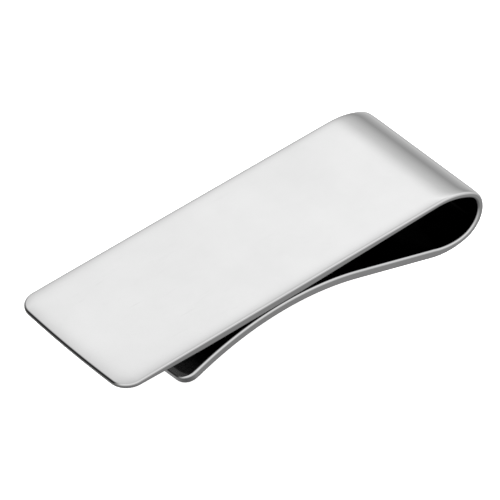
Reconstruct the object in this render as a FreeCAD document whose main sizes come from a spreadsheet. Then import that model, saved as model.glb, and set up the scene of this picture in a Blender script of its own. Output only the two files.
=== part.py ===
"""Money clip: one strip of polished spring steel, rolled into a spring bow.

The strip is modelled as the five zones that it is formed into, in order from its
front end: face plate, spring bow, clamp leaf, grip crown and lead-in lip.  Each zone
is a body in a frame of its own: x runs along the strip, y across it, z = 0 is the
outer surface and the metal lies below it.  Every zone starts on the end face of the
zone before it, and the whole clip stands as it rests on a table, on the bottom of its
bow and the tip of its lip.  Lengths are in millimetres and turns in degrees.
"""
import FreeCAD, Part
import math
import os
from collections import namedtuple
import Sketcher

DRIVING = {
    "strip_width": 20.0,
    "plate_run": 46.5,
    "plate_gauge": 1.24,
    "tip_gauge": 0.9,
    "tip_taper": 12.0,
    "neck_gauge": 0.82,
    "bow_gauge": 0.88,
    "taper_start": 28.0,
    "plate_corner": 2.4,
    "plate_end_arc": 180.0,
    "upper_bow_radius": 10.2,
    "upper_bow_turn": 31.5,
    "nose_radius": 3.0,
    "nose_turn": 41.0,
    "lower_bow_radius": 3.9,
    "lower_bow_turn": 93.0,
    "heel_radius": 9.2,
    "heel_turn": 32.5,
    "leaf_gauge": 1.28,
    "crown_radius": 35.0,
    "leaf_crown_turn": 9.0,
    "grip_turn": 29.0,
    "lip_run": 2.7,
    "lip_kick": 1.5,
    "lip_corner": 1.7,
    "lip_end_arc": 160.0,
    "edge_round": 0.3,
    "pinch_gap": 0.05,
}
BOW_ARCS = ("upper_bow", "nose", "lower_bow", "heel")
Y_AXIS = FreeCAD.Vector(0, 1, 0)
Z_AXIS = FreeCAD.Vector(0, 0, 1)
# Numbers that stand for a sketch's own axes and origin, and for the points of an edge.
H_AXIS, V_AXIS, ORIGIN = -1, -2, -1
START, END, CENTRE = 1, 2, 3

# One stretch of a surface.  A straight run has a length; a bend has a radius and a turn,
# and bends down about a centre below the surface (side 1) or up about one above (side -1).
Leg = namedtuple("Leg", "size size_cell turn turn_cell side")


# ---------------------------------------------------------------- dimensions

def run_on(station, length):
    """Station (x, z, turn) of the outer surface after a straight run."""
    x, z, turn = station
    angle = math.radians(turn)
    return (x + length * math.cos(angle), z - length * math.sin(angle), turn)


def bend_on(station, radius, turn):
    """Station after an arc of the outer surface; a negative turn bends it back up."""
    x, z, start = station
    reach = math.copysign(radius, turn)
    first, last = math.radians(start), math.radians(start + turn)
    return (x + reach * (math.sin(last) - math.sin(first)),
            z + reach * (math.cos(last) - math.cos(first)), start + turn)


def bow_stations(dims):
    """Stations at the start of the bow and after each of its arcs."""
    stations = [(dims["plate_run"], 0.0, 0.0)]
    for name in BOW_ARCS:
        stations.append(bend_on(stations[-1], dims[name + "_radius"], dims[name + "_turn"]))
    return stations


def bore_radii(dims):
    """Inner radii of the bow's arcs, which turn as much as the outer ones.

    The two middle ones are inset by the bow's gauge.  The first and the last take the
    inner surface from the neck's gauge to the leaf's, square to the strip at both ends.
    """
    stations = bow_stations(dims)
    bores = {name: dims[name + "_radius"] - dims["bow_gauge"] for name in BOW_ARCS[1:3]}
    chords = {name: bend_on((0.0, 0.0, first[2]), 1.0, last[2] - first[2])
              for name, first, last in zip(BOW_ARCS, stations, stations[1:])}
    start, end = below(stations[0], dims["neck_gauge"]), below(stations[-1], dims["leaf_gauge"])
    across, down = (end[axis] - start[axis] - sum(bores[name] * chords[name][axis] for name in bores)
                    for axis in (0, 1))
    upper, heel = chords["upper_bow"], chords["heel"]
    area = upper[0] * heel[1] - upper[1] * heel[0]
    bores["upper_bow"] = (across * heel[1] - down * heel[0]) / area
    bores["heel"] = (upper[0] * down - upper[1] * across) / area
    return {name + "_bore": radius for name, radius in bores.items()}


def closing_sizes(dims):
    """Sizes that follow from the driving ones and close the form.

    The leaf runs straight until its crown stands a pinch gap below the face plate.
    """
    heel = bow_stations(dims)[-1]
    slope = math.radians(heel[2] - 180)
    apex = -(dims["plate_gauge"] + dims["pinch_gap"] + dims["leaf_gauge"])
    crown_rise = dims["crown_radius"] * (1 - math.cos(slope))
    return {"leaf_run": (apex - crown_rise - heel[1]) / math.sin(slope),
            "crest_radius": dims["crown_radius"] + dims["leaf_gauge"], **bore_radii(dims)}


def zone_stations(dims):
    """Where each zone starts on the outer surface, from the front end of a level face plate."""
    bow = bow_stations(dims)
    leaf_end = run_on(bow[-1], dims["leaf_run"])
    crown = bend_on(leaf_end, dims["crown_radius"], -dims["leaf_crown_turn"])
    crease = bend_on(crown, dims["crown_radius"], -dims["grip_turn"])
    return {"face_plate": bow[0], "spring_bow": bow[0], "clamp_leaf": bow[-1], "grip_crown": crown,
            "lead_in_lip": (*crease[:2], crease[2] + dims["lip_kick"])}


def below(station, depth):
    """Point at a depth below the outer surface."""
    x, z, turn = station
    angle = math.radians(turn)
    return (x - depth * math.sin(angle), z - depth * math.cos(angle))


def rest_turn(dims, stations):
    """Turn that brings the heel of the bow and the rounded tip of the lip to one level."""
    heel_x, heel_z = below(bow_stations(dims)[-1], dims["heel_radius"])
    tip = run_on(stations["lead_in_lip"], dims["lip_run"] - dims["edge_round"])
    tip_x, tip_z = below(tip, dims["edge_round"])
    along, up = heel_x - tip_x, heel_z - tip_z
    drop = math.asin((dims["heel_radius"] - dims["edge_round"]) / math.hypot(along, up))
    return math.degrees(math.atan2(up, along) - drop)


# ------------------------------------------------------- document and sketches

def fill_sheet(doc, dims):
    """Spreadsheet named Dims with one aliased cell for each size."""
    sheet = doc.addObject("Spreadsheet::Sheet", "Dims")
    for row, (alias, value) in enumerate(dims.items(), start=1):
        sheet.set(f"A{row}", alias)
        sheet.set(f"B{row}", str(value))
        sheet.setAlias(f"B{row}", alias)
    doc.recompute()


def new_sketch(body, name, plane):
    """Empty sketch on one of the body's own origin planes."""
    sketch = body.newObject("Sketcher::SketchObject", name)
    support = next(item for item in body.Origin.OriginFeatures if item.Role == plane)
    sketch.AttachmentSupport = [(support, "")]
    sketch.MapMode = "FlatFace"
    return sketch


def constrain(sketch, *terms):
    return sketch.addConstraint(Sketcher.Constraint(*terms))


def bind(sketch, expression, *terms):
    """Add a dimension, whose value comes last in terms, and bind it to the sheet."""
    sketch.setExpression(f"Constraints[{constrain(sketch, *terms)}]", expression)


def add_line(sketch, start, end):
    ends = [FreeCAD.Vector(*point, 0) for point in (start, end)]
    return sketch.addGeometry(Part.LineSegment(*ends), False)


def add_arc(sketch, centre, radius, first, last):
    """Arc of a circle, counter-clockwise from one angle in degrees to another."""
    circle = Part.Circle(FreeCAD.Vector(*centre, 0), FreeCAD.Vector(0, 0, 1), radius)
    return sketch.addGeometry(Part.ArcOfCircle(circle, math.radians(first), math.radians(last)), False)


# ------------------------------------------------------------ flat zones

def blank_sketch(body, dims, name):
    """Plan of a flat zone: a square root at x = 0, then rounded corners and a bowed end."""
    sketch = new_sketch(body, "Blank", "XY_Plane")
    half, corner, end_radius = dims["strip_width"] / 2, dims[name + "_corner"], dims[name + "_end_arc"]
    lean = math.degrees(math.asin((half - corner) / (end_radius - corner)))
    end_x = dims[name + "_run"] - end_radius
    corner_x = end_x + (end_radius - corner) * math.cos(math.radians(lean))
    near = add_line(sketch, (0, -half), (corner_x, -half))
    near_corner = add_arc(sketch, (corner_x, corner - half), corner, -90, -lean)
    end = add_arc(sketch, (end_x, 0), end_radius, -lean, lean)
    far_corner = add_arc(sketch, (corner_x, half - corner), corner, lean, 90)
    far = add_line(sketch, (corner_x, half), (0, half))
    back = add_line(sketch, (0, half), (0, -half))
    rim = (near, near_corner, end, far_corner, far)
    for first, second in zip(rim, rim[1:]):
        constrain(sketch, "Tangent", first, END, second, START)
    constrain(sketch, "Coincident", far, END, back, START)
    constrain(sketch, "Coincident", back, END, near, START)
    constrain(sketch, "Horizontal", near)
    constrain(sketch, "Horizontal", far)
    constrain(sketch, "Symmetric", back, START, back, END, H_AXIS)
    constrain(sketch, "Equal", near_corner, far_corner)
    constrain(sketch, "PointOnObject", near, START, V_AXIS)
    bind(sketch, f"Dims.{name}_corner", "Radius", near_corner, corner)
    bind(sketch, f"Dims.{name}_end_arc", "Radius", end, end_radius)
    bind(sketch, "Dims.strip_width", "DistanceY", back, END, back, START, 2 * half)
    place_point(sketch, (end, CENTRE), (end_x, f"Dims.{name}_run - Dims.{name}_end_arc"), (0, ""))
    return sketch


def place_point(sketch, point, *places):
    """Fix a point of an edge from the origin by an (x, expression) and a (z, expression) pair."""
    for kind, axis, (value, expression) in zip(("DistanceX", "DistanceY"), (V_AXIS, H_AXIS), places):
        if expression:
            bind(sketch, expression, kind, ORIGIN, START, *point, value)
        else:
            constrain(sketch, "PointOnObject", *point, axis)


def cut_wedge(body, corners):
    """Cut a triangular wedge, the same all across the strip, out of a flat zone."""
    sketch = new_sketch(body, "Wedge", "XZ_Plane")
    points = [(x[0], z[0]) for x, z in corners]
    lines = [add_line(sketch, *ends) for ends in zip(points, points[1:] + points[:1])]
    for edge, following in zip(lines, lines[1:] + lines[:1]):
        constrain(sketch, "Coincident", edge, END, following, START)
    for edge, place in zip(lines, corners):
        place_point(sketch, (edge, START), *place)
    pocket = body.newObject("PartDesign::Pocket", "WedgeCut")
    pocket.Profile = sketch
    pocket.Type = "ThroughAll"
    pocket.Midplane = True
    return pocket


def flat_zone(doc, dims, label, name, gauge, *wedges):
    """Flat end of the strip: its blank, given its gauge and then cut to its wedges."""
    body = doc.addObject("PartDesign::Body", label)
    pad = body.newObject("PartDesign::Pad", "Sheet")
    pad.Profile = blank_sketch(body, dims, name)
    pad.Reversed = True
    pad.setExpression("Length", f"Dims.{gauge}")
    body.Tip = pad
    doc.recompute()
    for wedge in wedges:
        whole = body.Shape.Volume
        cut_wedge(body, wedge)
        doc.recompute()
        if body.Shape.Volume >= whole:
            raise RuntimeError(f"{label}: a wedge cut removed nothing")
    round_rim(doc, body, dims)
    return body


def face_plate(doc, dims):
    """Flat front of the clip, thinned on its underside towards the bow and towards its tip."""
    gauge, run = dims["plate_gauge"], dims["plate_run"]
    thick = (-gauge, "-Dims.plate_gauge")
    neck = [((0, ""), (-dims["neck_gauge"], "-Dims.neck_gauge")),
            ((0, ""), thick),
            ((run - dims["taper_start"], "Dims.plate_run - Dims.taper_start"), thick)]
    tip = [((run, "Dims.plate_run"), (-dims["tip_gauge"], "-Dims.tip_gauge")),
           ((run, "Dims.plate_run"), thick),
           ((run - dims["tip_taper"], "Dims.plate_run - Dims.tip_taper"), thick)]
    return flat_zone(doc, dims, "face_plate", "plate", "plate_gauge", neck, tip)


def lead_in_lip(doc, dims):
    """Flared end of the leaf, kicked back at a crease across the strip."""
    gauge = dims["leaf_gauge"]
    run = gauge * math.tan(math.radians(dims["lip_kick"]))
    wedge = [((0, ""), (0, "")),
             ((0, ""), (-gauge, "-Dims.leaf_gauge")),
             ((run, "Dims.leaf_gauge * tan(Dims.lip_kick * 1 deg)"), (-gauge, "-Dims.leaf_gauge"))]
    return flat_zone(doc, dims, "lead_in_lip", "lip", "leaf_gauge", wedge)


# ------------------------------------------------------------ bent zones

def make_legs(dims, plan):
    """Legs from (size cell, turn cell, side) rows; a straight run has no turn cell."""
    return [Leg(dims[size], f"Dims.{size}", dims.get(turn, 0), f"Dims.{turn} * 1 deg", side)
            for size, turn, side in plan]


def add_leg(sketch, leg, station):
    """Draw one leg from a station; returns its edge, its two points and its last station."""
    turn = station[2]
    if not leg.side:
        last = run_on(station, leg.size)
        edge = add_line(sketch, station[:2], last[:2])
        bind(sketch, leg.size_cell, "Distance", edge, leg.size)
        return edge, START, END, last
    centre = below(station, leg.side * leg.size)
    first = leg.side * 90 - turn
    span = sorted((first, first - leg.side * leg.turn))
    edge = add_arc(sketch, centre, leg.size, *span)
    bind(sketch, leg.size_cell, "Radius", edge, leg.size)
    bind(sketch, leg.turn_cell, "Angle", edge, math.radians(leg.turn))
    points = (END, START) if leg.side > 0 else (START, END)
    return edge, *points, bend_on(station, leg.size, leg.side * leg.turn)


def add_surface(sketch, legs, height, height_cell):
    """Chain of tangent legs from (0, height); returns its two end points."""
    station, ends = (0.0, height, 0.0), []
    for leg in legs:
        edge, first, last, station = add_leg(sketch, leg, station)
        if ends:
            constrain(sketch, "Tangent", *ends[-1], edge, first)
        else:
            place_point(sketch, (edge, first), (0, ""), (height, height_cell))
            if leg.side:
                constrain(sketch, "PointOnObject", edge, CENTRE, V_AXIS)
            else:
                constrain(sketch, "Horizontal", edge)
            ends.append((edge, first))
        ends.append((edge, last))
    return (ends[0], ends[-1]), station


def bent_zone(doc, dims, label, outer_plan, inner_plan, root_gauge):
    """Bent stretch of the strip between two end faces square to it."""
    body = doc.addObject("PartDesign::Body", label)
    sketch = new_sketch(body, "Side", "XZ_Plane")
    outer, outer_last = add_surface(sketch, make_legs(dims, outer_plan), 0.0, "")
    depth = -dims[root_gauge]
    inner, inner_last = add_surface(sketch, make_legs(dims, inner_plan), depth, f"-Dims.{root_gauge}")
    closing = (((0.0, 0.0), (0.0, depth)), (outer_last[:2], inner_last[:2]))
    for upper, lower, ends in zip(outer, inner, closing):
        edge = add_line(sketch, *ends)
        constrain(sketch, "Coincident", edge, START, *upper)
        constrain(sketch, "Coincident", edge, END, *lower)
    pad = body.newObject("PartDesign::Pad", "Strip")
    pad.Profile = sketch
    pad.Midplane = True
    pad.setExpression("Length", "Dims.strip_width")
    doc.recompute()
    round_rim(doc, body, dims)
    return body


def spring_bow(doc, dims):
    """Rolled bow that closes the clip, growing from the neck's gauge to the leaf's."""
    outer = [(name + "_radius", name + "_turn", 1) for name in BOW_ARCS]
    inner = [(name + "_bore", name + "_turn", 1) for name in BOW_ARCS]
    return bent_zone(doc, dims, "spring_bow", outer, inner, "neck_gauge")


def clamp_leaf(doc, dims):
    """Back leaf: straight from the bow, then into the curve of the crown."""
    outer, inner = ([("leaf_run", "", 0), (radius, "leaf_crown_turn", -1)]
                    for radius in ("crown_radius", "crest_radius"))
    return bent_zone(doc, dims, "clamp_leaf", outer, inner, "leaf_gauge")


def grip_crown(doc, dims):
    """Crown that presses on the underside of the face plate."""
    outer, inner = ([(radius, "grip_turn", -1)] for radius in ("crown_radius", "crest_radius"))
    return bent_zone(doc, dims, "grip_crown", outer, inner, "leaf_gauge")


def round_rim(doc, body, dims):
    """Round the edges where the broad surfaces meet the rim, but not the end faces."""
    shape, feature = body.Shape, body.Tip
    least = 1.5 * dims["strip_width"] * dims["leaf_gauge"]
    broad, rim = [], []
    for face in shape.Faces:
        across = abs(face.normalAt(*centre_of(face)).y) > 0.5
        if face.Area > least and not across:
            broad.append(face)
        elif across or not isinstance(face.Surface, Part.Plane):
            rim.append(face)
    names = [f"Edge{index}" for index, edge in enumerate(shape.Edges, start=1)
             if bounds_one_of(edge, broad) and bounds_one_of(edge, rim)]
    rounding = body.newObject("PartDesign::Fillet", "EdgeRound")
    rounding.Base = (feature, names)
    rounding.setExpression("Radius", "Dims.edge_round")
    doc.recompute()


def centre_of(face):
    first_u, last_u, first_v, last_v = face.ParameterRange
    return (first_u + last_u) / 2, (first_v + last_v) / 2


def bounds_one_of(edge, faces):
    return any(edge.isSame(other) for face in faces for other in face.Edges)


# ---------------------------------------------------------------- the clip

def stand_on_table(bodies, dims):
    """Place the zones end to end, at rest on z = 0 and centred on x = 0.

    The face plate runs the other way from its root at the bow, so it is turned about z.
    """
    stations = zone_stations(dims)
    tilt = FreeCAD.Placement(FreeCAD.Vector(), FreeCAD.Rotation(Y_AXIS, rest_turn(dims, stations)))
    for body in bodies:
        x, z, turn = stations[body.Label]
        heading = FreeCAD.Rotation(Z_AXIS, 180) if body.Label == "face_plate" else FreeCAD.Rotation(Y_AXIS, turn)
        body.Placement = tilt.multiply(FreeCAD.Placement(FreeCAD.Vector(x, 0, z), heading))
    box = Part.makeCompound([body.Shape for body in bodies]).optimalBoundingBox(False)
    shift = FreeCAD.Placement(FreeCAD.Vector(-box.Center.x, 0, -box.ZMin), FreeCAD.Rotation())
    for body in bodies:
        body.Placement = shift.multiply(body.Placement)


def check_document(doc, bodies):
    for item in doc.Objects:
        if any(word in item.State for word in ("Invalid", "Error")):
            raise RuntimeError(f"{item.Name} failed: {item.State}")
        if item.TypeId == "Sketcher::SketchObject" and not item.FullyConstrained:
            raise RuntimeError(f"{item.Name} is not fully constrained")
    for body in bodies:
        if body.Shape.isNull() or not body.Shape.isValid() or len(body.Shape.Solids) != 1:
            raise RuntimeError(f"{body.Label} is not one valid solid")


def build():
    """Make the document and return it with its five zones."""
    dims = {**DRIVING, **closing_sizes(DRIVING)}
    doc = FreeCAD.newDocument("MoneyClip")
    fill_sheet(doc, dims)
    zones = (face_plate, spring_bow, clamp_leaf, grip_crown, lead_in_lip)
    bodies = [zone(doc, dims) for zone in zones]
    doc.recompute()
    stand_on_table(bodies, dims)
    doc.recompute()
    check_document(doc, bodies)
    return doc, bodies


document, parts = build()
os.makedirs("parts", exist_ok=True)
for part in parts:
    part.Shape.exportStep(f"parts/{part.Label}.step")
    print(f"{part.Label}: {part.Shape.Volume:.1f} mm3")
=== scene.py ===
"""Looks of a money clip: one folded strip of mirror-polished spring steel.

The strip is laid out flat as stations along its outer surface, and is then folded into
the clip in six closed pieces that meet on equal cross-sections.  A distance s along the
strip counts from the root of the plate: it is negative on the plate and positive round
the bow.  The strip's lengths are in millimetres and its turns in degrees; the scene
around it is in metres.
"""
import math

import bpy
import numpy as np
from mathutils import Matrix, Vector


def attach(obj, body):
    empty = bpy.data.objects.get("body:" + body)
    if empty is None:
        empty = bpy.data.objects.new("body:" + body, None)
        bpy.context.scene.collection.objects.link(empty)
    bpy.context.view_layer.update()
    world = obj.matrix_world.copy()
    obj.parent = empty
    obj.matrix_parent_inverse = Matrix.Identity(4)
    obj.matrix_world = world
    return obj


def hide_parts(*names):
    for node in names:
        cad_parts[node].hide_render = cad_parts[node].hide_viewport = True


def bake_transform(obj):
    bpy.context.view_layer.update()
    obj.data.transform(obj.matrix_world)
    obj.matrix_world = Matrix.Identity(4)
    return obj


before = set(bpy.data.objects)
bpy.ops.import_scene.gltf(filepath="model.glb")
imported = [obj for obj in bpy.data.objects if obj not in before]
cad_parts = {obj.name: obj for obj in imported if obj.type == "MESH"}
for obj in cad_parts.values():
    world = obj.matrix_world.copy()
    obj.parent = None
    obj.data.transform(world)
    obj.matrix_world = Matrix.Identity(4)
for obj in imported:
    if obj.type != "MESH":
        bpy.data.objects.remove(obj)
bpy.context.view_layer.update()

MM = 0.001
WIDTH = 20.0
REST_TURN = math.radians(4.3203448)
BOW_START = (19.6122, 8.2839)

# Outer surface from the root of the plate: (radius, turn), or a length where it is straight.
PLATE_RUN = 46.453
BOW = ((10.166, 31.6), (3.0, 41.055), (3.914, 93.119), (9.205, 32.238))
BOW_LENGTH = sum(math.radians(turn) * radius for radius, turn in BOW)
LEAF_RUN = 11.813
CROWN = (34.928, 38.126)
LIP_RUN = 2.69

# The crease that starts the lip: its turn, the run it takes, and the points it is traced with.
CREASE, CREASE_RUN, CREASE_POINTS = 3.33, 0.5, 24

# Turn at which the bow is split in two, and turn of the crown that belongs to the leaf.
SPLIT_TURN = 87.5
LEAF_TURN = 9.0

# (distance from the front end, gauge): thin at the front end and at the root of the plate.
BOW_END = PLATE_RUN + BOW_LENGTH
BOW_EASE = 4.5
GAUGES = ((0.0, 0.90), (12.0, 1.237), (27.0, 1.237), (PLATE_RUN, 0.813),
          (PLATE_RUN + BOW_EASE, 0.88), (BOW_END - BOW_EASE, 0.95), (BOW_END, 1.285))

# Free ends: radius of the corners, and radius of the shallow arc between them.
PLATE_CORNER, PLATE_END_ARC = 2.4, 180.5
LIP_CORNER, LIP_END_ARC = 1.7, 160.0
CORNER_STEPS, END_STEPS = 14, 12
END_GAP = 0.0006                # radians that keep the last cross-section off mid-width

# Rim: its radius, and how polishing has eased the surface beside it.
RIM = 0.29
ROLL_OFF, ROLL_OFF_SPREAD = 0.055, 0.40
TIP_EASE, TIP_REACH = 1.0, 6.0
RIM_DEPTH = RIM - 0.5 * ROLL_OFF
FIRST_ANGLE = math.atan(ROLL_OFF / ROLL_OFF_SPREAD)
FILLET_STEPS = 7

# Rows across half the strip, by their distance from the rim's inner edge.  They draw
# together where that edge is nearer to mid-width than CROWDED.
ACROSS = (0.12, 0.3, 0.6, 1.0, 1.5, 2.2, 3.2, 4.6, 6.4)
CROWDED = 7.0
LEAST_Y = 1e-4
PROBE = 1e-3                    # step at which the slope of the eased surface is taken

# Tracing of the strip's line, which starts LEAD before the root of the plate.
LEAD, TRACE_STEP = 3.0, 0.02
EASING, KERNEL_REACH = 0.45, 3
CLOSING_PLACES, CLOSING_WIDTH = (2.8, 9.0, 16.5), 1.6
CLOSING_ROUNDS, NUDGE = 8, 1e-4

# Lengths of strip between one cross-section and the next.
PLATE_SPACING, BOW_SPACING, LEAF_SPACING, LIP_SPACING = 1.0, 0.1, 0.35, 0.05

# ---------------------------------------------------------------- the strip's line


def gauge_at(s):
    """Gauge of the strip at a distance s past the root of the plate."""
    return float(np.interp(PLATE_RUN + s, *zip(*GAUGES)))


def trace():
    """Line of the outer surface: distance, point and turn, with bends that ease into each other.

    It starts a little before the root of the plate, where the strip is still flat.
    """
    spans = [(LEAD, 0.0)] + [(math.radians(turn) * radius, 1 / radius) for radius, turn in BOW]
    spans += [(LEAF_RUN, 0.0), (math.radians(CROWN[1]) * CROWN[0], -1 / CROWN[0])]
    marks = np.cumsum([0.0] + [length for length, _ in spans])
    count = int(round(marks[-1] / TRACE_STEP))
    step = marks[-1] / count
    middles = (np.arange(count) + 0.5) * step
    bends = np.array([spans[k][1] for k in np.searchsorted(marks, middles) - 1])
    spread = int(EASING / step)
    margin = spread * KERNEL_REACH
    kernel = np.exp(-0.5 * (np.arange(-margin, margin + 1) / spread) ** 2)
    padded = np.concatenate([np.zeros(margin), bends, np.full(margin, bends[-1])])
    eased = np.convolve(padded, kernel / kernel.sum(), mode="valid")
    goal, goal_turns = fold(bends, step)
    for _ in range(CLOSING_ROUNDS):
        line, turns = fold(eased, step)
        eased = close(eased, step, line, (*(goal[-1] - line[-1]), goal_turns[-1] - turns[-1]))
    line, turns = fold(eased, step)
    return np.arange(count + 1) * step - LEAD, line - [LEAD, 0.0], turns


def fold(bends, step):
    """Line and turns of a strip whose curvature is given for each step."""
    turns = np.concatenate([[0.0], np.cumsum(bends) * step])
    half = (turns[1:] + turns[:-1]) / 2
    moves = np.stack([np.cos(half), -np.sin(half)], axis=1) * step
    return np.concatenate([[[0.0, 0.0]], np.cumsum(moves, axis=0)]), turns


def close(bends, step, line, miss):
    """Trim the curvature at three places so that the strip ends where and how it should."""
    where = (np.arange(len(bends)) + 0.5) * step - LEAD
    modes = [np.exp(-((where - place) / CLOSING_WIDTH) ** 2) for place in CLOSING_PLACES]
    effects = []
    for mode in modes:
        moved, _ = fold(bends + NUDGE * mode, step)
        effects.append([*(moved[-1] - line[-1]) / NUDGE, mode.sum() * step])
    amounts = np.linalg.solve(np.array(effects).T, np.array(miss))
    return bends + sum(amount * mode for amount, mode in zip(amounts, modes))


TRACE = trace()
CROWN_START = BOW_LENGTH + LEAF_RUN + math.radians(LEAF_TURN) * CROWN[0]
CROWN_END = BOW_LENGTH + LEAF_RUN + math.radians(CROWN[1]) * CROWN[0]
IN_BOW = TRACE[0] < BOW_LENGTH
SPLIT = float(np.interp(math.radians(SPLIT_TURN), TRACE[2][IN_BOW], TRACE[0][IN_BOW]))


def station(s):
    """Point and turn of the outer surface at a distance s past the root of the plate."""
    along, line, turns = TRACE
    if s <= -LEAD:
        return s, 0.0, 0.0
    if s <= CROWN_END:
        return (float(np.interp(s, along, line[:, 0])), float(np.interp(s, along, line[:, 1])),
                float(np.interp(s, along, turns)))
    turn = turns[-1] + crease_turn(s)
    past = np.linspace(0, s - CROWN_END, CREASE_POINTS)
    angles = turns[-1] + np.array([crease_turn(CROWN_END + p) for p in past])
    middles = (angles[1:] + angles[:-1]) / 2
    steps = np.diff(past)
    return (float(line[-1, 0] + (np.cos(middles) * steps).sum()),
            float(line[-1, 1] - (np.sin(middles) * steps).sum()), float(turn))


def crease_turn(s):
    """Turn added by the crease that starts the lip, eased over its run."""
    t = min(max((s - CROWN_END) / CREASE_RUN, 0.0), 1.0)
    return math.radians(CREASE) * t * t * (3 - 2 * t)


# ---------------------------------------------------------------- the strip's plan


def edge_distance(s, y, plan):
    """Distance of a point of the flat strip from its outline."""
    side = WIDTH / 2 - abs(y)
    if plan is None:
        return side
    end, corner, arc, sign = plan
    bowed = end - sign * y * y / (2 * arc)
    front = (bowed - s) * sign
    if side < corner and front < corner:
        return corner - math.hypot(corner - side, corner - front)
    return min(side, front)


def outline(first, last, spacing, plan):
    """Half outline of a piece: (s, y, normal in s, normal in y) from its seam to its end."""
    half = WIDTH / 2
    if plan is None:
        count = max(2, int(math.ceil(abs(last - first) / spacing)))
        return [(first + (last - first) * k / count, half, 0.0, 1.0) for k in range(count + 1)]
    end, corner, arc, sign = plan
    lean = math.asin((half - corner) / (arc - corner))
    centre = end - sign * arc
    corner_s = centre + sign * (arc - corner) * math.cos(lean)
    count = max(2, int(math.ceil(abs(corner_s - first) / spacing)))
    points = [(first + (corner_s - first) * k / count, half, 0.0, 1.0) for k in range(count)]
    for k in range(CORNER_STEPS + 1):
        angle = math.pi / 2 - (math.pi / 2 - lean) * k / CORNER_STEPS
        along, across = sign * math.cos(angle), math.sin(angle)
        points.append((corner_s + corner * along, half - corner + corner * across, along, across))
    for k in range(1, END_STEPS + 1):
        angle = lean * (1 - k / END_STEPS) + END_GAP * (k == END_STEPS)
        along, across = sign * math.cos(angle), math.sin(angle)
        points.append((centre + arc * along, arc * across, along, across))
    return points


def roll_off(s, distance):
    """Depth by which polishing has eased the surface near its edge, most of all at the front end."""
    more = 1 + TIP_EASE * math.exp(-max(s + PLATE_RUN, 0.0) / TIP_REACH)
    return more * ROLL_OFF * math.exp(-max(distance - RIM, 0.0) / (more * ROLL_OFF_SPREAD))


def section(point, plan, gauge, side):
    """Half cross-section at an outline point, from mid-width on the outer side, round the rim, and back.

    Returns (s, y, depth, normal) rows; side is -1 for the near half and 1 for the far half.
    """
    s0, y0, normal_s, normal_y = point
    inner_s, inner_y = s0 - RIM * normal_s, y0 - RIM * normal_y
    inner_y = max(inner_y, LEAST_Y)
    top, bottom = [], []
    for inset in reversed(ACROSS):
        y = inner_y - (min(inset, inner_y * inset / CROWDED) if inner_y < CROWDED else inset)
        depth = roll_off(inner_s, edge_distance(inner_s, y, plan))
        lean_s, lean_y = (roll_off(inner_s, edge_distance(inner_s + ds, y + dy, plan)) - depth
                          for ds, dy in ((PROBE, 0.0), (0.0, PROBE)))
        lean_s, lean_y = lean_s / PROBE, side * lean_y / PROBE
        top.append((inner_s, side * y, depth, (lean_s, lean_y, 1.0)))
        bottom.append((inner_s, side * y, gauge - depth, (lean_s, lean_y, -1.0)))
    outer = []
    eased = roll_off(inner_s, RIM)
    for k in range(FILLET_STEPS + 1):
        angle = FIRST_ANGLE + (math.pi / 2 - FIRST_ANGLE) * k / FILLET_STEPS
        part = (math.cos(FIRST_ANGLE) - math.cos(angle)) / math.cos(FIRST_ANGLE)
        reach = (math.sin(angle) - math.sin(FIRST_ANGLE)) / (1 - math.sin(FIRST_ANGLE))
        outer.append((RIM * (1 - reach), eased + RIM_DEPTH * part, angle))
    rows = [(inset, drop, angle, 1) for inset, drop, angle in outer]
    rows += [(0.0, gauge / 2, math.pi / 2, 1)]
    rows += [(inset, gauge - drop, angle, -1) for inset, drop, angle in reversed(outer)]
    rim = [(s0 - inset * normal_s, side * (y0 - inset * normal_y), depth,
            (normal_s * math.sin(angle), side * normal_y * math.sin(angle), up * math.cos(angle)))
           for inset, depth, angle, up in rows]
    return top + rim + bottom[::-1]


def ring_at(point, plan):
    """Closed cross-section: the near half, then the far half the other way round."""
    gauge = gauge_at(point[0])
    near = section(point, plan, gauge, -1)
    far = section(point, plan, gauge, 1)
    return near + far[::-1]


def place(s, y, depth):
    """Point of the strip at (s, y, depth) in the clip's frame, in metres."""
    x, z, turn = station(s)
    x, z = x - depth * math.sin(turn), z - depth * math.cos(turn)
    cos, sin = math.cos(REST_TURN), math.sin(REST_TURN)
    return (MM * (BOW_START[0] + x * cos - z * sin), MM * y, MM * (BOW_START[1] + x * sin + z * cos))


def facing(s, normal):
    """Direction in the clip's frame of a normal given along the strip, across it and out of it."""
    along, across, out = normal
    turn = station(s)[2]
    x = along * math.cos(turn) + out * math.sin(turn)
    z = out * math.cos(turn) - along * math.sin(turn)
    cos, sin = math.cos(REST_TURN), math.sin(REST_TURN)
    return Vector((x * cos - z * sin, across, x * sin + z * cos)).normalized()


# ---------------------------------------------------------------- meshes


def strip_piece(name, first, last, spacing, plan=None):
    """Closed piece of the strip between two places along it; a plan gives it a shaped end."""
    rings = [ring_at(point, plan) for point in outline(first, last, spacing, plan)]
    size = len(rings[0])
    flat = [corner for ring in rings for corner in ring]
    vertices = [place(*corner[:3]) for corner in flat]
    faces = []
    for k in range(len(rings) - 1):
        for j in range(size):
            a, b = k * size + j, k * size + (j + 1) % size
            faces.append((a, b, b + size, a + size))
    if plan is not None:
        faces += seal_end((len(rings) - 1) * size, size)
    smooth = len(faces)
    faces += cap(0, size)
    if plan is None:
        faces += [face[::-1] for face in cap((len(rings) - 1) * size, size)]
    if last < first:
        faces = [face[::-1] for face in faces]
    mesh = bpy.data.meshes.new(name)
    mesh.from_pydata(vertices, [], faces)
    mesh.update()
    dress(mesh, flat, plan, smooth)
    piece = bpy.data.objects.new(name, mesh)
    bpy.context.scene.collection.objects.link(piece)
    return piece


def halves(base, size):
    """Vertices of a cross-section's near half and far half, each from its outer side round."""
    half = size // 2
    return [base + j for j in range(half)], [base + size - 1 - j for j in range(half)]


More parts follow.
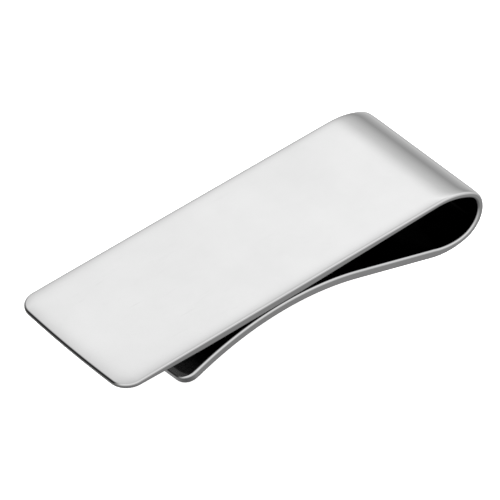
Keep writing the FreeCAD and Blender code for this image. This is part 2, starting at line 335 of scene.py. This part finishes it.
def cap(base, size):
    """Flat end across a cross-section: quads between its upper and lower halves."""
    near, far = halves(base, size)
    half = len(near)
    faces = []
    for j in range(half // 2):
        faces.append((near[j], near[half - 1 - j], near[half - 2 - j], near[j + 1]))
        faces.append((far[j], far[j + 1], far[half - 2 - j], far[half - 1 - j]))
    faces.append((near[0], far[0], far[half - 1], near[half - 1]))
    distinct = [tuple(dict.fromkeys(face)) for face in faces]
    return [face for face in distinct if len(face) > 2]


def seal_end(base, size):
    """Join the near and far halves of the last cross-section, which nearly meet at mid-width."""
    near, far = halves(base, size)
    return [(near[j], near[j + 1], far[j + 1], far[j]) for j in range(len(near) - 1)]


# Distance from the edge over which the polish is worn, and how far a surface must face
# inwards before it gets painted shade.
WEAR_REACH = 0.35
INNER_FROM = 0.75

# (s, share of painted shade on the inner side): full inside the loop, less towards the two open ends.
INNER_SHADE_SHARE = ((-44.0, 0.15), (-34.0, 1.0), (CROWN_END - 4, 1.0), (CROWN_END - 0.2, 0.75),
            (CROWN_END + 0.2, 0.35), (CROWN_END + 3, 0.30))


def painted_inner_shade(s, normal):
    """Share of painted shade at a point of the strip, by its place and by how far it faces inwards."""
    inwards = (-normal[2] - INNER_FROM) / (1 - INNER_FROM)
    return min(max(inwards, 0.0), 1.0) * float(np.interp(s, *zip(*INNER_SHADE_SHARE)))


def point_attribute(mesh, name, values):
    attribute = mesh.attributes.new(name, "FLOAT", "POINT")
    attribute.data.foreach_set("value", np.array(values, np.float32))


def dress(mesh, flat, plan, smooth):
    """Give a piece its attributes, its material, and the true normals of the strip's surface.

    The first faces, as many as smooth says, are the strip's surface; the rest are flat ends.
    """
    point_attribute(mesh, "edge_wear",
                    [math.exp(-max(edge_distance(s, y, plan), 0.0) / WEAR_REACH) for s, y, _, _ in flat])
    # Painted shade: the inner side of the strip gets a share of darkening, full inside the loop.
    point_attribute(mesh, "inner_shade", [painted_inner_shade(s, normal) for s, _, _, normal in flat])
    layer = mesh.uv_layers.new(name="strip")
    for loop in mesh.loops:
        s, y, depth, _ = flat[loop.vertex_index]
        layer.data[loop.index].uv = (s * MM, (y + math.copysign(depth, y)) * MM)
    true = [facing(s, normal) for s, _, _, normal in flat]
    normals = [None] * len(mesh.loops)
    for polygon in mesh.polygons:
        polygon.use_smooth = polygon.index < smooth
        for index in polygon.loop_indices:
            vertex = mesh.loops[index].vertex_index
            normals[index] = true[vertex] if polygon.index < smooth else polygon.normal.copy()
    mesh.normals_split_custom_set(normals)
    mesh.materials.append(STEEL)


# ---------------------------------------------------------------- material

# Scales of the noises along x, y and z, in waves to the metre.  Buffing lines run along the
# strip, some 20 to the millimetre; hairlines lie at odd angles, in radians, and in patches.
BUFFING_SCALE = (900.0, 21000.0, 9000.0)
HAIRLINE_SCALE = (260.0, 9000.0, 260.0)
HAIRLINE_TURNS = (0.35, 1.15, 1.95, 2.75)
PATCH_SCALE = (420.0, 420.0, 420.0)
PATCH_TILT = 0.3
HAZE_SCALE = (110.0, 110.0, 110.0)
PIT_SCALE = (3800.0, 3800.0, 3800.0)
WEAR_SCALE = (700.0, 700.0, 700.0)

# (place on the haze, grey level) of the clean steel, then the level of marks and of the painted shade on
# the inner side.
STEEL_TONES = ((0.3, 0.668), (0.75, 0.715))
MARK_TONE, MARK_SHARE = 0.52, 0.12
INNER_SHADE_TONE = 0.13

# Roughness of the polish, and what scratches and wear add to it.
SMOOTHEST, HAZIEST = 0.055, 0.085
SCRATCH_ROUGHNESS, WEAR_ROUGHNESS = 0.07, 0.05

# Share of each noise in the relief, and the depth of the whole relief in metres.
BUFFING_RELIEF, HAZE_RELIEF, MARK_RELIEF = 0.10, 0.9, 0.35
RELIEF_STRENGTH, RELIEF_DEPTH = 0.12, 0.000012


def grey(level):
    return (level, level, level, 1)


def polished_steel():
    """Mirror-polished steel with buffing lines, haze, hairlines, pits, worn edges, and painted shade on
    the inner side.
    """
    material = bpy.data.materials.new("polished_steel")
    material.use_nodes = True
    nodes, links = material.node_tree.nodes, material.node_tree.links
    nodes.clear()
    output = nodes.new("ShaderNodeOutputMaterial")
    shader = nodes.new("ShaderNodeBsdfPrincipled")
    shader.inputs["Metallic"].default_value = 1.0
    links.new(shader.outputs["BSDF"], output.inputs["Surface"])
    where = nodes.new("ShaderNodeTexCoord")

    def mapping(scale, turn=(0.0, 0.0, 0.0)):
        node = nodes.new("ShaderNodeMapping")
        node.inputs["Scale"].default_value = scale
        node.inputs["Rotation"].default_value = turn
        links.new(where.outputs["Object"], node.inputs["Vector"])
        return node.outputs["Vector"]

    def noise(vector, detail=2.0, roughness=0.5):
        node = nodes.new("ShaderNodeTexNoise")
        node.inputs["Scale"].default_value = 1.0
        node.inputs["Detail"].default_value = detail
        node.inputs["Roughness"].default_value = roughness
        links.new(vector, node.inputs["Vector"])
        return node.outputs["Fac"]

    def remap(value, low, high, to_low, to_high):
        node = nodes.new("ShaderNodeMapRange")
        for key, number in zip(("From Min", "From Max", "To Min", "To Max"), (low, high, to_low, to_high)):
            node.inputs[key].default_value = number
        links.new(value, node.inputs["Value"])
        return node.outputs["Result"]

    def join(kind, first, second):
        node = nodes.new("ShaderNodeMath")
        node.operation = kind
        for socket, value in zip(node.inputs, (first, second)):
            if isinstance(value, (int, float)):
                socket.default_value = value
            else:
                links.new(value, socket)
        return node.outputs["Value"]

    def attribute(name):
        node = nodes.new("ShaderNodeAttribute")
        node.attribute_name = name
        return node.outputs["Fac"]

    def blend_to(color, level, factor):
        node = nodes.new("ShaderNodeMix")
        node.data_type = "RGBA"
        node.inputs["B"].default_value = grey(level)
        links.new(color, node.inputs["A"])
        links.new(factor, node.inputs["Factor"])
        return node.outputs["Result"]

    buffing = noise(mapping(BUFFING_SCALE), 2.0, 0.6)
    hairlines = []
    for turn in HAIRLINE_TURNS:
        streaks = remap(noise(mapping(HAIRLINE_SCALE, (0.0, 0.0, turn)), 1.0, 0.4), 0.70, 0.78, 0.0, 1.0)
        patches = remap(noise(mapping(PATCH_SCALE, (PATCH_TILT, 0.0, turn)), 1.0), 0.52, 0.62, 0.0, 1.0)
        hairlines.append(join("MULTIPLY", streaks, patches))
    scratches = hairlines[0]
    for more in hairlines[1:]:
        scratches = join("MAXIMUM", scratches, more)
    haze = noise(mapping(HAZE_SCALE), 4.0, 0.55)
    pits = remap(noise(mapping(PIT_SCALE), 1.0), 0.74, 0.8, 0.0, 1.0)
    uneven = remap(noise(mapping(WEAR_SCALE), 3.0), 0.4, 0.65, 0.15, 1.0)
    wear = join("MULTIPLY", attribute("edge_wear"), uneven)
    marks = join("MAXIMUM", scratches, pits)

    rough = remap(haze, 0.35, 0.7, SMOOTHEST, HAZIEST)
    rough = join("ADD", rough, join("MULTIPLY", scratches, SCRATCH_ROUGHNESS))
    rough = join("ADD", rough, join("MULTIPLY", wear, WEAR_ROUGHNESS))
    links.new(rough, shader.inputs["Roughness"])

    tone = nodes.new("ShaderNodeValToRGB")
    for element, (position, level) in zip(tone.color_ramp.elements, STEEL_TONES):
        element.position = position
        element.color = grey(level)
    links.new(haze, tone.inputs["Fac"])
    marked = blend_to(tone.outputs["Color"], MARK_TONE, join("MULTIPLY", marks, MARK_SHARE))
    # Painted shade: the steel's colour darkens to near black on the inner side, where the loop is in
    # shade.
    color = blend_to(marked, INNER_SHADE_TONE, attribute("inner_shade"))
    links.new(color, shader.inputs["Base Color"])

    relief = join("ADD", join("MULTIPLY", buffing, BUFFING_RELIEF), join("MULTIPLY", haze, HAZE_RELIEF))
    relief = join("SUBTRACT", relief, join("MULTIPLY", marks, MARK_RELIEF))
    bump = nodes.new("ShaderNodeBump")
    bump.inputs["Strength"].default_value = RELIEF_STRENGTH
    bump.inputs["Distance"].default_value = RELIEF_DEPTH
    links.new(relief, bump.inputs["Height"])
    links.new(bump.outputs["Normal"], shader.inputs["Normal"])
    return material


STEEL = polished_steel()

# ---------------------------------------------------------------- the clip

# (place of the end along the strip, corner radius, end arc, which way the end points)
plate_plan = (-PLATE_RUN, PLATE_CORNER, PLATE_END_ARC, -1)
lip_plan = (CROWN_END + LIP_RUN, LIP_CORNER, LIP_END_ARC, 1)
plate = strip_piece("face_plate_strip", 0.0, -PLATE_RUN, PLATE_SPACING, plate_plan)
bow_upper = strip_piece("spring_bow_upper", 0.0, SPLIT, BOW_SPACING)
bow_lower = strip_piece("spring_bow_lower", SPLIT, BOW_LENGTH, BOW_SPACING)
leaf = strip_piece("clamp_leaf_strip", BOW_LENGTH, CROWN_START, LEAF_SPACING)
crown = strip_piece("grip_crown_strip", CROWN_START, CROWN_END, LEAF_SPACING)
lip = strip_piece("lead_in_lip_strip", CROWN_END, CROWN_END + LIP_RUN, LIP_SPACING, lip_plan)

# The plate, the bow and the clamp leaf stay where they are built; the crown and the lip ride on the leaf's
# body.
for piece in (plate, bow_upper):
    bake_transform(piece)
for piece in (bow_lower, leaf):
    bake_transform(piece)
for piece in (crown, lip):
    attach(piece, "leaf")
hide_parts("face_plate")
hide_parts("spring_bow")
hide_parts("spring_bow")
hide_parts("clamp_leaf")
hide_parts("grip_crown")
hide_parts("lead_in_lip")

# ---------------------------------------------------------------- floor, light and camera

# The leaf swings down as the clip opens, so the floor lies low enough to clear it.
FLOOR_DROP = 0.0092
FLOOR_REACH = 1.5
FLOOR_LEVEL, FLOOR_ROUGHNESS, FLOOR_GLOW = 0.93, 0.9, 0.7

# Sky levels as (height of the direction from -1 to 1, level), by side of the clip.
SKY_BACK_LEFT = ((-1.0, 0.10), (-0.6, 0.22), (-0.42, 0.03), (0.35, 0.02), (0.68, 0.10),
                 (0.85, 0.80), (1.0, 0.80))
SKY_BACK_RIGHT = ((-0.75, 0.35), (-0.1, 0.7), (0.2, 0.4), (0.5, 0.8), (0.7, 1.25), (0.9, 0.8),
                  (1.0, 0.8))
SKY_FRONT = ((-1.0, 0.10), (-0.7, 0.22), (-0.5, 0.46), (-0.1, 0.72), (0.15, 0.80), (0.45, 1.0),
             (0.7, 1.1), (0.88, 0.78), (1.0, 0.78))

# (axis, where the change starts, where it ends): from back left to back right, then to the front.
SKY_TURNS = (("X", -0.6, 0.42), ("Y", 0.3, -0.3))

LAMP_DIRECTION, LAMP_DISTANCE = (0.1, 0.2, 1.0), 0.8
LAMP_SIZE, LAMP_POWER = 1.4, 9.0

LENS, SENSOR_WIDTH = 360.0, 36.0
NEAR_CLIP, FAR_CLIP = 0.01, 10.0
CAMERA_PLACE = (-0.280634, -0.346893, 0.368250)
CAMERA_FORWARD = (0.48743, 0.60316, -0.63135)


def build_floor():
    """Pale floor that glows a little and that the steel doesn't mirror."""
    paper = bpy.data.materials.new("paper")
    paper.use_nodes = True
    shader = paper.node_tree.nodes["Principled BSDF"]
    shader.inputs["Base Color"].default_value = grey(FLOOR_LEVEL)
    shader.inputs["Roughness"].default_value = FLOOR_ROUGHNESS
    shader.inputs["Emission Color"].default_value = grey(1.0)
    shader.inputs["Emission Strength"].default_value = FLOOR_GLOW
    corners = [(x * FLOOR_REACH, y * FLOOR_REACH, -FLOOR_DROP)
               for x, y in ((-1, -1), (1, -1), (1, 1), (-1, 1))]
    mesh = bpy.data.meshes.new("floor")
    mesh.from_pydata(corners, [], [(0, 1, 2, 3)])
    mesh.materials.append(paper)
    floor = bpy.data.objects.new("floor", mesh)
    bpy.context.scene.collection.objects.link(floor)
    floor.visible_glossy = False


def sky_ramp(nodes, stops):
    """Colour ramp over height, from straight down at 0 to straight up at 1."""
    ramp = nodes.new("ShaderNodeValToRGB")
    elements = ramp.color_ramp.elements
    while len(elements) < len(stops):
        elements.new(0.5)
    for element, (height, _) in zip(elements, stops):
        element.position = (height + 1) / 2
    for element, (_, level) in zip(elements, stops):
        element.color = grey(level)
    return ramp


def build_world():
    """Studio light all round: three gradients by height, for the back left, back right and front."""
    world = bpy.data.worlds.new("studio")
    world.use_nodes = True
    nodes, links = world.node_tree.nodes, world.node_tree.links
    where = nodes.new("ShaderNodeTexCoord")
    split = nodes.new("ShaderNodeSeparateXYZ")
    links.new(where.outputs["Generated"], split.inputs["Vector"])
    height = nodes.new("ShaderNodeMapRange")
    height.inputs["From Min"].default_value = -1.0
    links.new(split.outputs["Z"], height.inputs["Value"])
    ramps = [sky_ramp(nodes, stops) for stops in (SKY_BACK_LEFT, SKY_BACK_RIGHT, SKY_FRONT)]
    for ramp in ramps:
        links.new(height.outputs["Result"], ramp.inputs["Fac"])
    color = ramps[0].outputs["Color"]
    for (axis, low, high), ramp in zip(SKY_TURNS, ramps[1:]):
        side = nodes.new("ShaderNodeMapRange")
        side.inputs["From Min"].default_value = low
        side.inputs["From Max"].default_value = high
        links.new(split.outputs[axis], side.inputs["Value"])
        mix = nodes.new("ShaderNodeMix")
        mix.data_type = "RGBA"
        links.new(side.outputs["Result"], mix.inputs["Factor"])
        links.new(color, mix.inputs["A"])
        links.new(ramp.outputs["Color"], mix.inputs["B"])
        color = mix.outputs["Result"]
    links.new(color, nodes["Background"].inputs["Color"])
    bpy.context.scene.world = world


def build_lamp():
    """Broad soft lamp overhead, which the steel doesn't mirror."""
    light = bpy.data.lights.new("overhead", "AREA")
    light.shape = "RECTANGLE"
    light.size = light.size_y = LAMP_SIZE
    light.energy = LAMP_POWER
    lamp = bpy.data.objects.new("overhead", light)
    lamp.location = Vector(LAMP_DIRECTION).normalized() * LAMP_DISTANCE
    lamp.rotation_euler = (-lamp.location).to_track_quat("-Z", "Y").to_euler()
    lamp.visible_glossy = False
    bpy.context.scene.collection.objects.link(lamp)


def build_camera():
    """Long lens from the front left and above."""
    camera = bpy.data.cameras.new("camera")
    camera.lens = LENS
    camera.sensor_width = SENSOR_WIDTH
    camera.clip_start, camera.clip_end = NEAR_CLIP, FAR_CLIP
    viewer = bpy.data.objects.new("camera", camera)
    forward = Vector(CAMERA_FORWARD).normalized()
    right = forward.cross(Vector((0, 0, 1))).normalized()
    up = right.cross(forward)
    rows = zip(right, up, -forward, CAMERA_PLACE)
    viewer.matrix_world = Matrix((*(tuple(row) for row in rows), (0, 0, 0, 1)))
    bpy.context.scene.collection.objects.link(viewer)
    bpy.context.scene.camera = viewer


build_floor()
build_world()
build_lamp()
build_camera()
bpy.context.scene.view_settings.view_transform = "Standard"
